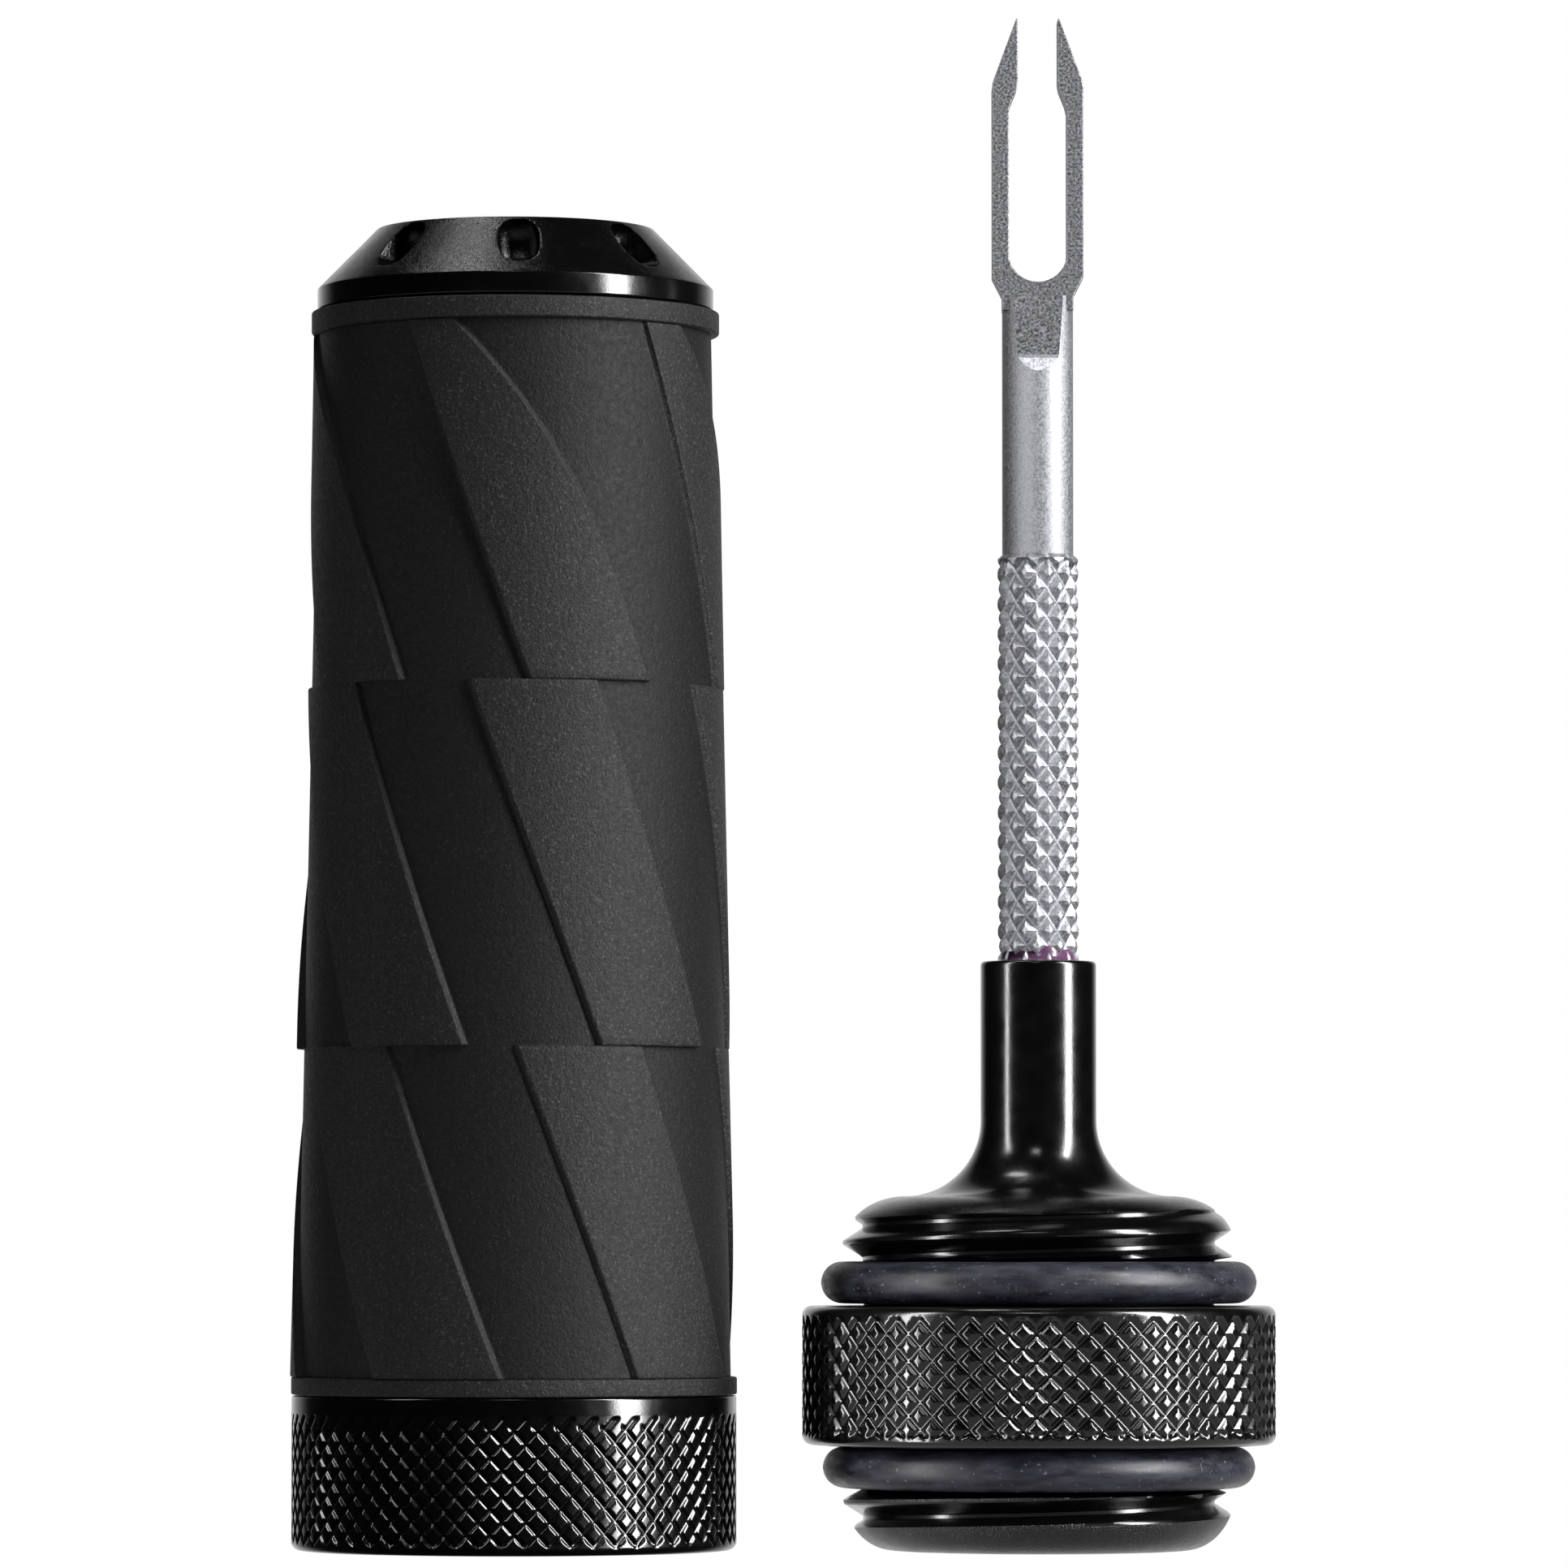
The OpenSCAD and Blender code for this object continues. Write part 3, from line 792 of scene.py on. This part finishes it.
def fork_head():
    """Smooth shank with its milled flats, and the flat head with its open eye."""
    half = HEAD_W / 2
    eye, gap = 1.34, 0.92
    eye_bottom, eye_top, gap_z = 58.3, 66.2, 67.2
    left = [(-SHANK_R, 57.0), (-SHANK_R, SHANK_TOP), (-half, 58.55), (-half, 67.3), (-half + 0.04, 67.6),
            (-gap - 0.06, FORK_TOP), (-gap, FORK_TOP - 0.06)]
    shoulder = [(-gap, gap_z + 0.35), (-gap - 0.05, gap_z + 0.05), (-eye + 0.09, eye_top + 0.35), (-eye, eye_top)]
    bowl = [(eye * math.cos(a), eye_bottom + eye + eye * math.sin(a))
            for a in np.radians(np.linspace(180, 360, 25))]
    path = left + shoulder + bowl + [(-x, z) for x, z in (left + shoulder)[::-1]]
    head = plate("fork_flat_head", path, None, HEAD_T, 0.1)
    azimuth = columns(96)
    rod = skin(rows_of(INSERT_X, azimuth, [
        (0, KNURL_TOP - 0.3), (SHANK_R - 0.06, KNURL_TOP - 0.3), (SHANK_R, KNURL_TOP), (SHANK_R, SHANK_TOP),
        (0, SHANK_TOP)]), "rod")
    side = [(SHANK_R + 0.3, KNURL_TOP - 1), (SHANK_R + 0.3, 54.1), (SHANK_R + 0.02, 54.1), (1.36, 54.75),
            (1.33, 54.9), (1.17, SHANK_TOP), (1.16, SHANK_TOP + 1)]
    slab = slab_from_side(side)
    combine(rod, slab, "INTERSECT")
    combine(rod, head, "UNION")
    rod.name = rod.data.name = "fork_head_and_shank"
    rod.data.polygons.foreach_set("use_smooth", [True] * len(rod.data.polygons))
    rod.data.set_sharp_from_angle(angle=math.radians(22))
    for mat in (STEEL_ROD, STEEL_FLAT, STEEL_RUN_OUT_HIGHLIGHT):
        rod.data.materials.append(mat)
    for face in rod.data.polygons:
        z = face.center.z / MM
        flat = abs(face.normal.y) > 0.985 and z > 54
        # the run-out's upward faces take the brighter steel: a painted highlight
        run_out = z < 55.2 and face.normal.z > 0.2
        face.material_index = 2 if run_out else int(flat or z > 57.7)
    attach(rod, "insert")
    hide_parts("fork")
    return rod


def slab_from_side(side):
    """A block whose outline along Y is side and its mirror, wide along X."""
    bm = bmesh.new()
    outline = side + [(-y, z) for y, z in side[::-1]]
    verts = [bm.verts.new(((INSERT_X - 4) * MM, y * MM, z * MM)) for y, z in outline]
    face = bm.faces.new(verts)
    made = bmesh.ops.extrude_face_region(bm, geom=[face])
    moved = [g for g in made["geom"] if isinstance(g, bmesh.types.BMVert)]
    bmesh.ops.translate(bm, vec=(8 * MM, 0, 0), verts=moved)
    return finish_mesh(bm, "slab")


def combine(obj, other, operation):
    """Boolean of obj with other, applied; other is removed."""
    mod = obj.modifiers.new(operation.lower(), "BOOLEAN")
    mod.operation, mod.solver, mod.object = operation, "EXACT", other
    apply_modifiers(obj)
    bpy.data.objects.remove(other)


def compound():
    """Bead of locking compound: fills the counterbore and creeps up the knurl's grooves."""
    azimuth = columns(160)
    creep = 0.16 + 0.1 * np.sin(3 * azimuth + 0.4) + 0.06 * np.sin(7 * azimuth)
    outline = [(1.55, 26.55), (2.12, 26.55), (2.12, 26.9), (2.04, 26.97), (1.86, 27.02), (1.76, 27.15),
               (1.66, 27.35)]
    rows = []
    for r, z in outline:
        lift = np.clip((z - 27.0) / 0.35, 0, 1) * creep
        rows.append(place(INSERT_X, azimuth, r, z + lift))
    rows.append(place(INSERT_X, azimuth, 1.55, 27.38 + creep))
    rows.append(place(INSERT_X, azimuth, 1.55, 26.55))
    obj = skin(np.stack(rows), "locking_compound_bead", sharp_deg=50)
    return finish_piece(obj, "insert", ["locking_compound"], [COMPOUND])


def spare_plug(node, turn):
    """Twisted repair strip: three sticky strands, a little uneven."""
    low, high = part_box(node)
    x, y = (low.x + high.x) / 2 / MM, (low.y + high.y) / 2 / MM
    radius, length = widest_r(node), (high.z - low.z) / MM
    around = columns(60)[None, :]
    z = np.concatenate([[0], np.linspace(0.0, length, 150), [length]])[:, None]
    strands = np.abs(np.cos(1.5 * (around - 1.05 * z + turn)))
    lump = 0.05 * np.sin(2.3 * z + turn) * np.sin(3 * around + 1.7 * z)
    r = radius * (0.80 + 0.17 * strands) + lump * 0.5
    ends = np.sqrt(np.clip(1 - (1 - np.minimum(z, length - z) / 0.5).clip(0) ** 2, 0, 1)) * 0.3 + 0.7
    r = np.minimum(r * ends, radius)
    r[0] = r[-1] = 0
    points = place(0, around, r, z)
    points[..., 0] += x
    points[..., 1] += y
    obj = skin(points, node + "_strip")
    return finish_piece(obj, "spare_plugs", [node], [PLUG])


# ---------------------------------------------------------------- stage, lights and camera

def studio():
    """White floor and backdrop, upright strip lights at both sides, small soft ones above and below."""
    mesh = bpy.data.meshes.new("floor")
    size, low = 1.5, -(FORK_TOP + 5) * MM  # leaves room for the insert to hang under the handle
    mesh.from_pydata([(x, y, low) for x, y in ((-size, -size), (size, -size), (size, size), (-size, size))],
                     [], [(0, 1, 2, 3)])
    floor = bpy.data.objects.new("floor", mesh)
    bpy.context.scene.collection.objects.link(floor)
    white = material("floor_white", (0.85, 0.85, 0.85), 0.9)
    white.node_tree.nodes["Principled BSDF"].inputs["Emission Color"].default_value = (1, 1, 1, 1)
    white.node_tree.nodes["Principled BSDF"].inputs["Emission Strength"].default_value = 1.0
    mesh.materials.append(white)
    floor.visible_glossy = floor.visible_diffuse = floor.visible_shadow = False

    world = bpy.data.worlds.new("studio")
    bpy.context.scene.world = world
    world.use_nodes = True
    tree = world.node_tree
    tree.nodes.clear()
    out = tree.nodes.new("ShaderNodeOutputWorld")
    mix = tree.nodes.new("ShaderNodeMixShader")
    room, seen = tree.nodes.new("ShaderNodeBackground"), tree.nodes.new("ShaderNodeBackground")
    seen.inputs["Color"].default_value = (1, 1, 1, 1)
    # the white backdrop lights only what faces it: the rims
    direction, split = tree.nodes.new("ShaderNodeTexCoord"), tree.nodes.new("ShaderNodeSeparateXYZ")
    behind = tree.nodes.new("ShaderNodeMapRange")
    for key, number in (("From Min", 0.7), ("From Max", 0.95), ("To Min", 0.02), ("To Max", 1.0)):
        behind.inputs[key].default_value = number
    tree.links.new(direction.outputs["Generated"], split.inputs[0])
    tree.links.new(split.outputs["Y"], behind.inputs["Value"])
    tree.links.new(behind.outputs["Result"], room.inputs["Color"])
    path = tree.nodes.new("ShaderNodeLightPath")
    tree.links.new(path.outputs["Is Camera Ray"], mix.inputs["Fac"])
    tree.links.new(room.outputs[0], mix.inputs[1])
    tree.links.new(seen.outputs[0], mix.inputs[2])
    tree.links.new(mix.outputs[0], out.inputs["Surface"])

    strip("strip_right", 62, 0.5, 0.12, -0.03, 0.64, 14.6)
    area("top_soft", Vector((-0.13, 0.06, 0.55)), Vector((0, 0, 0.03)), 0.06, 0.14, 0.45)
    area("front_top", Vector((-0.03, -0.34, 0.42)), Vector((0, 0, 0.03)), 0.09, 0.06, 0.18)
    below = area("floor_bounce", Vector((0, -0.14, -0.004)), Vector((0, -0.14, 1)), 0.4, 0.32, 0.25)
    # the photo shows each of these on some pieces and not on the others
    insert = "insert_turned", "lower_o_ring_moulded", "upper_o_ring_moulded"
    only_on(strip("strip_left", -67, 0.5, 0.065, -0.3, 0.5, 5.7), *insert)
    only_on(strip("fork_soft", -48, 0.6, 0.9, -0.3, 0.6, 10), "fork_knurled_shank", "fork_head_and_shank")
    only_on(strip("sleeve_soft", -65, 0.6, 0.5, -0.2, 0.3, 1.3), "grip_sleeve_moulded")
    only_on(strip("collar_left", -67, 0.5, 0.065, 0.24, 0.75, 2), "barrel_turned")
    only_on(below, *insert, "grip_sleeve_moulded", "end_cap_turned")


def strip(name, azimuth_deg, distance, width, bottom, top, power):
    """An upright area light, facing the object."""
    a = math.radians(azimuth_deg)
    at = Vector((math.sin(a) * distance, -math.cos(a) * distance, (bottom + top) / 2))
    return area(name, at, Vector((0, 0, at.z)), width, top - bottom, power)


def only_on(light, *names):
    """Limits a light to these objects."""
    lit = bpy.data.collections.new(light.name + "_receivers")
    for name in names:
        lit.objects.link(bpy.data.objects[name])
    light.light_linking.receiver_collection = lit


def area(name, at, target, width, height, power):
    light = bpy.data.lights.new(name, "AREA")
    light.shape, light.size, light.size_y, light.energy = "RECTANGLE", width, height, power
    obj = bpy.data.objects.new(name, light)
    obj.location = at
    obj.rotation_euler = (target - at).to_track_quat("-Z", "Y").to_euler()
    bpy.context.scene.collection.objects.link(obj)
    return obj


def camera():
    """A long lens at the height of the insert's dome, looking slightly up."""
    cam = bpy.data.cameras.new("camera")
    cam.lens, cam.sensor_width = 221.7, 36
    cam.clip_start, cam.clip_end = 0.01, 10
    obj = bpy.data.objects.new("camera", cam)
    obj.location = (0.00003, -0.4443, 0.0143)
    obj.rotation_euler = (math.radians(90 + 2.69), 0, 0)
    bpy.context.scene.collection.objects.link(obj)
    bpy.context.scene.camera = obj


camera()
barrel()
sleeve()
end_cap()
insert_body()
o_ring("lower_o_ring", "lower_o_ring")
o_ring("upper_o_ring", "insert")
fork_rod()
fork_head()
compound()
for number in range(1, 6):
    spare_plug(f"spare_plug_{number}", number * 1.3)
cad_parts["cap_seal"].data.materials.clear()
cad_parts["cap_seal"].data.materials.append(SEAL)
studio()

bpy.context.scene.view_settings.view_transform = "Standard"
bpy.context.scene.view_settings.look = "None"
